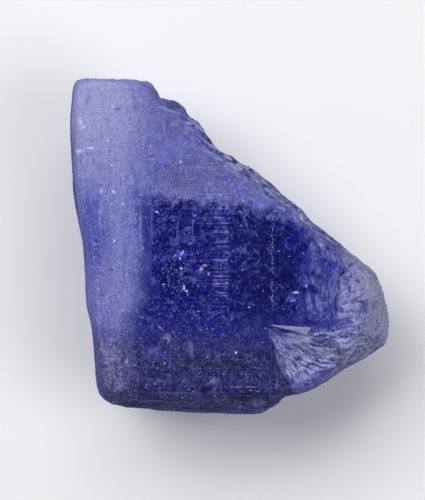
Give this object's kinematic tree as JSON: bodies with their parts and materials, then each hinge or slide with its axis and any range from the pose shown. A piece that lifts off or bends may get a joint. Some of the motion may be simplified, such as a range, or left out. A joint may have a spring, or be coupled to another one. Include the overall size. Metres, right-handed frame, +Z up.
{
  "type": "rough tanzanite crystal",
  "caption": "Rough violet-blue tanzanite crystal: a flattened prism with striated faces, a hackly diagonal break and a rounded frosted end, lying on its flat back.",
  "frame": {"origin": "centre of the footprint, on the plane of the flat back face that the crystal rests on", "axes": "+Z up out of the broad front face, +Y along the growth striations towards the narrow pale end, +X towards the rounded frosted lobe"},
  "size_m": [0.0342, 0.0362, 0.0132],
  "materials": {
    "tanzanite": "vitreous where clear, frosted on the rough and worn faces"
  },
  "bodies": {
    "root": {"tanzanite_crystal": "tanzanite"}
  },
  "joints": []
}
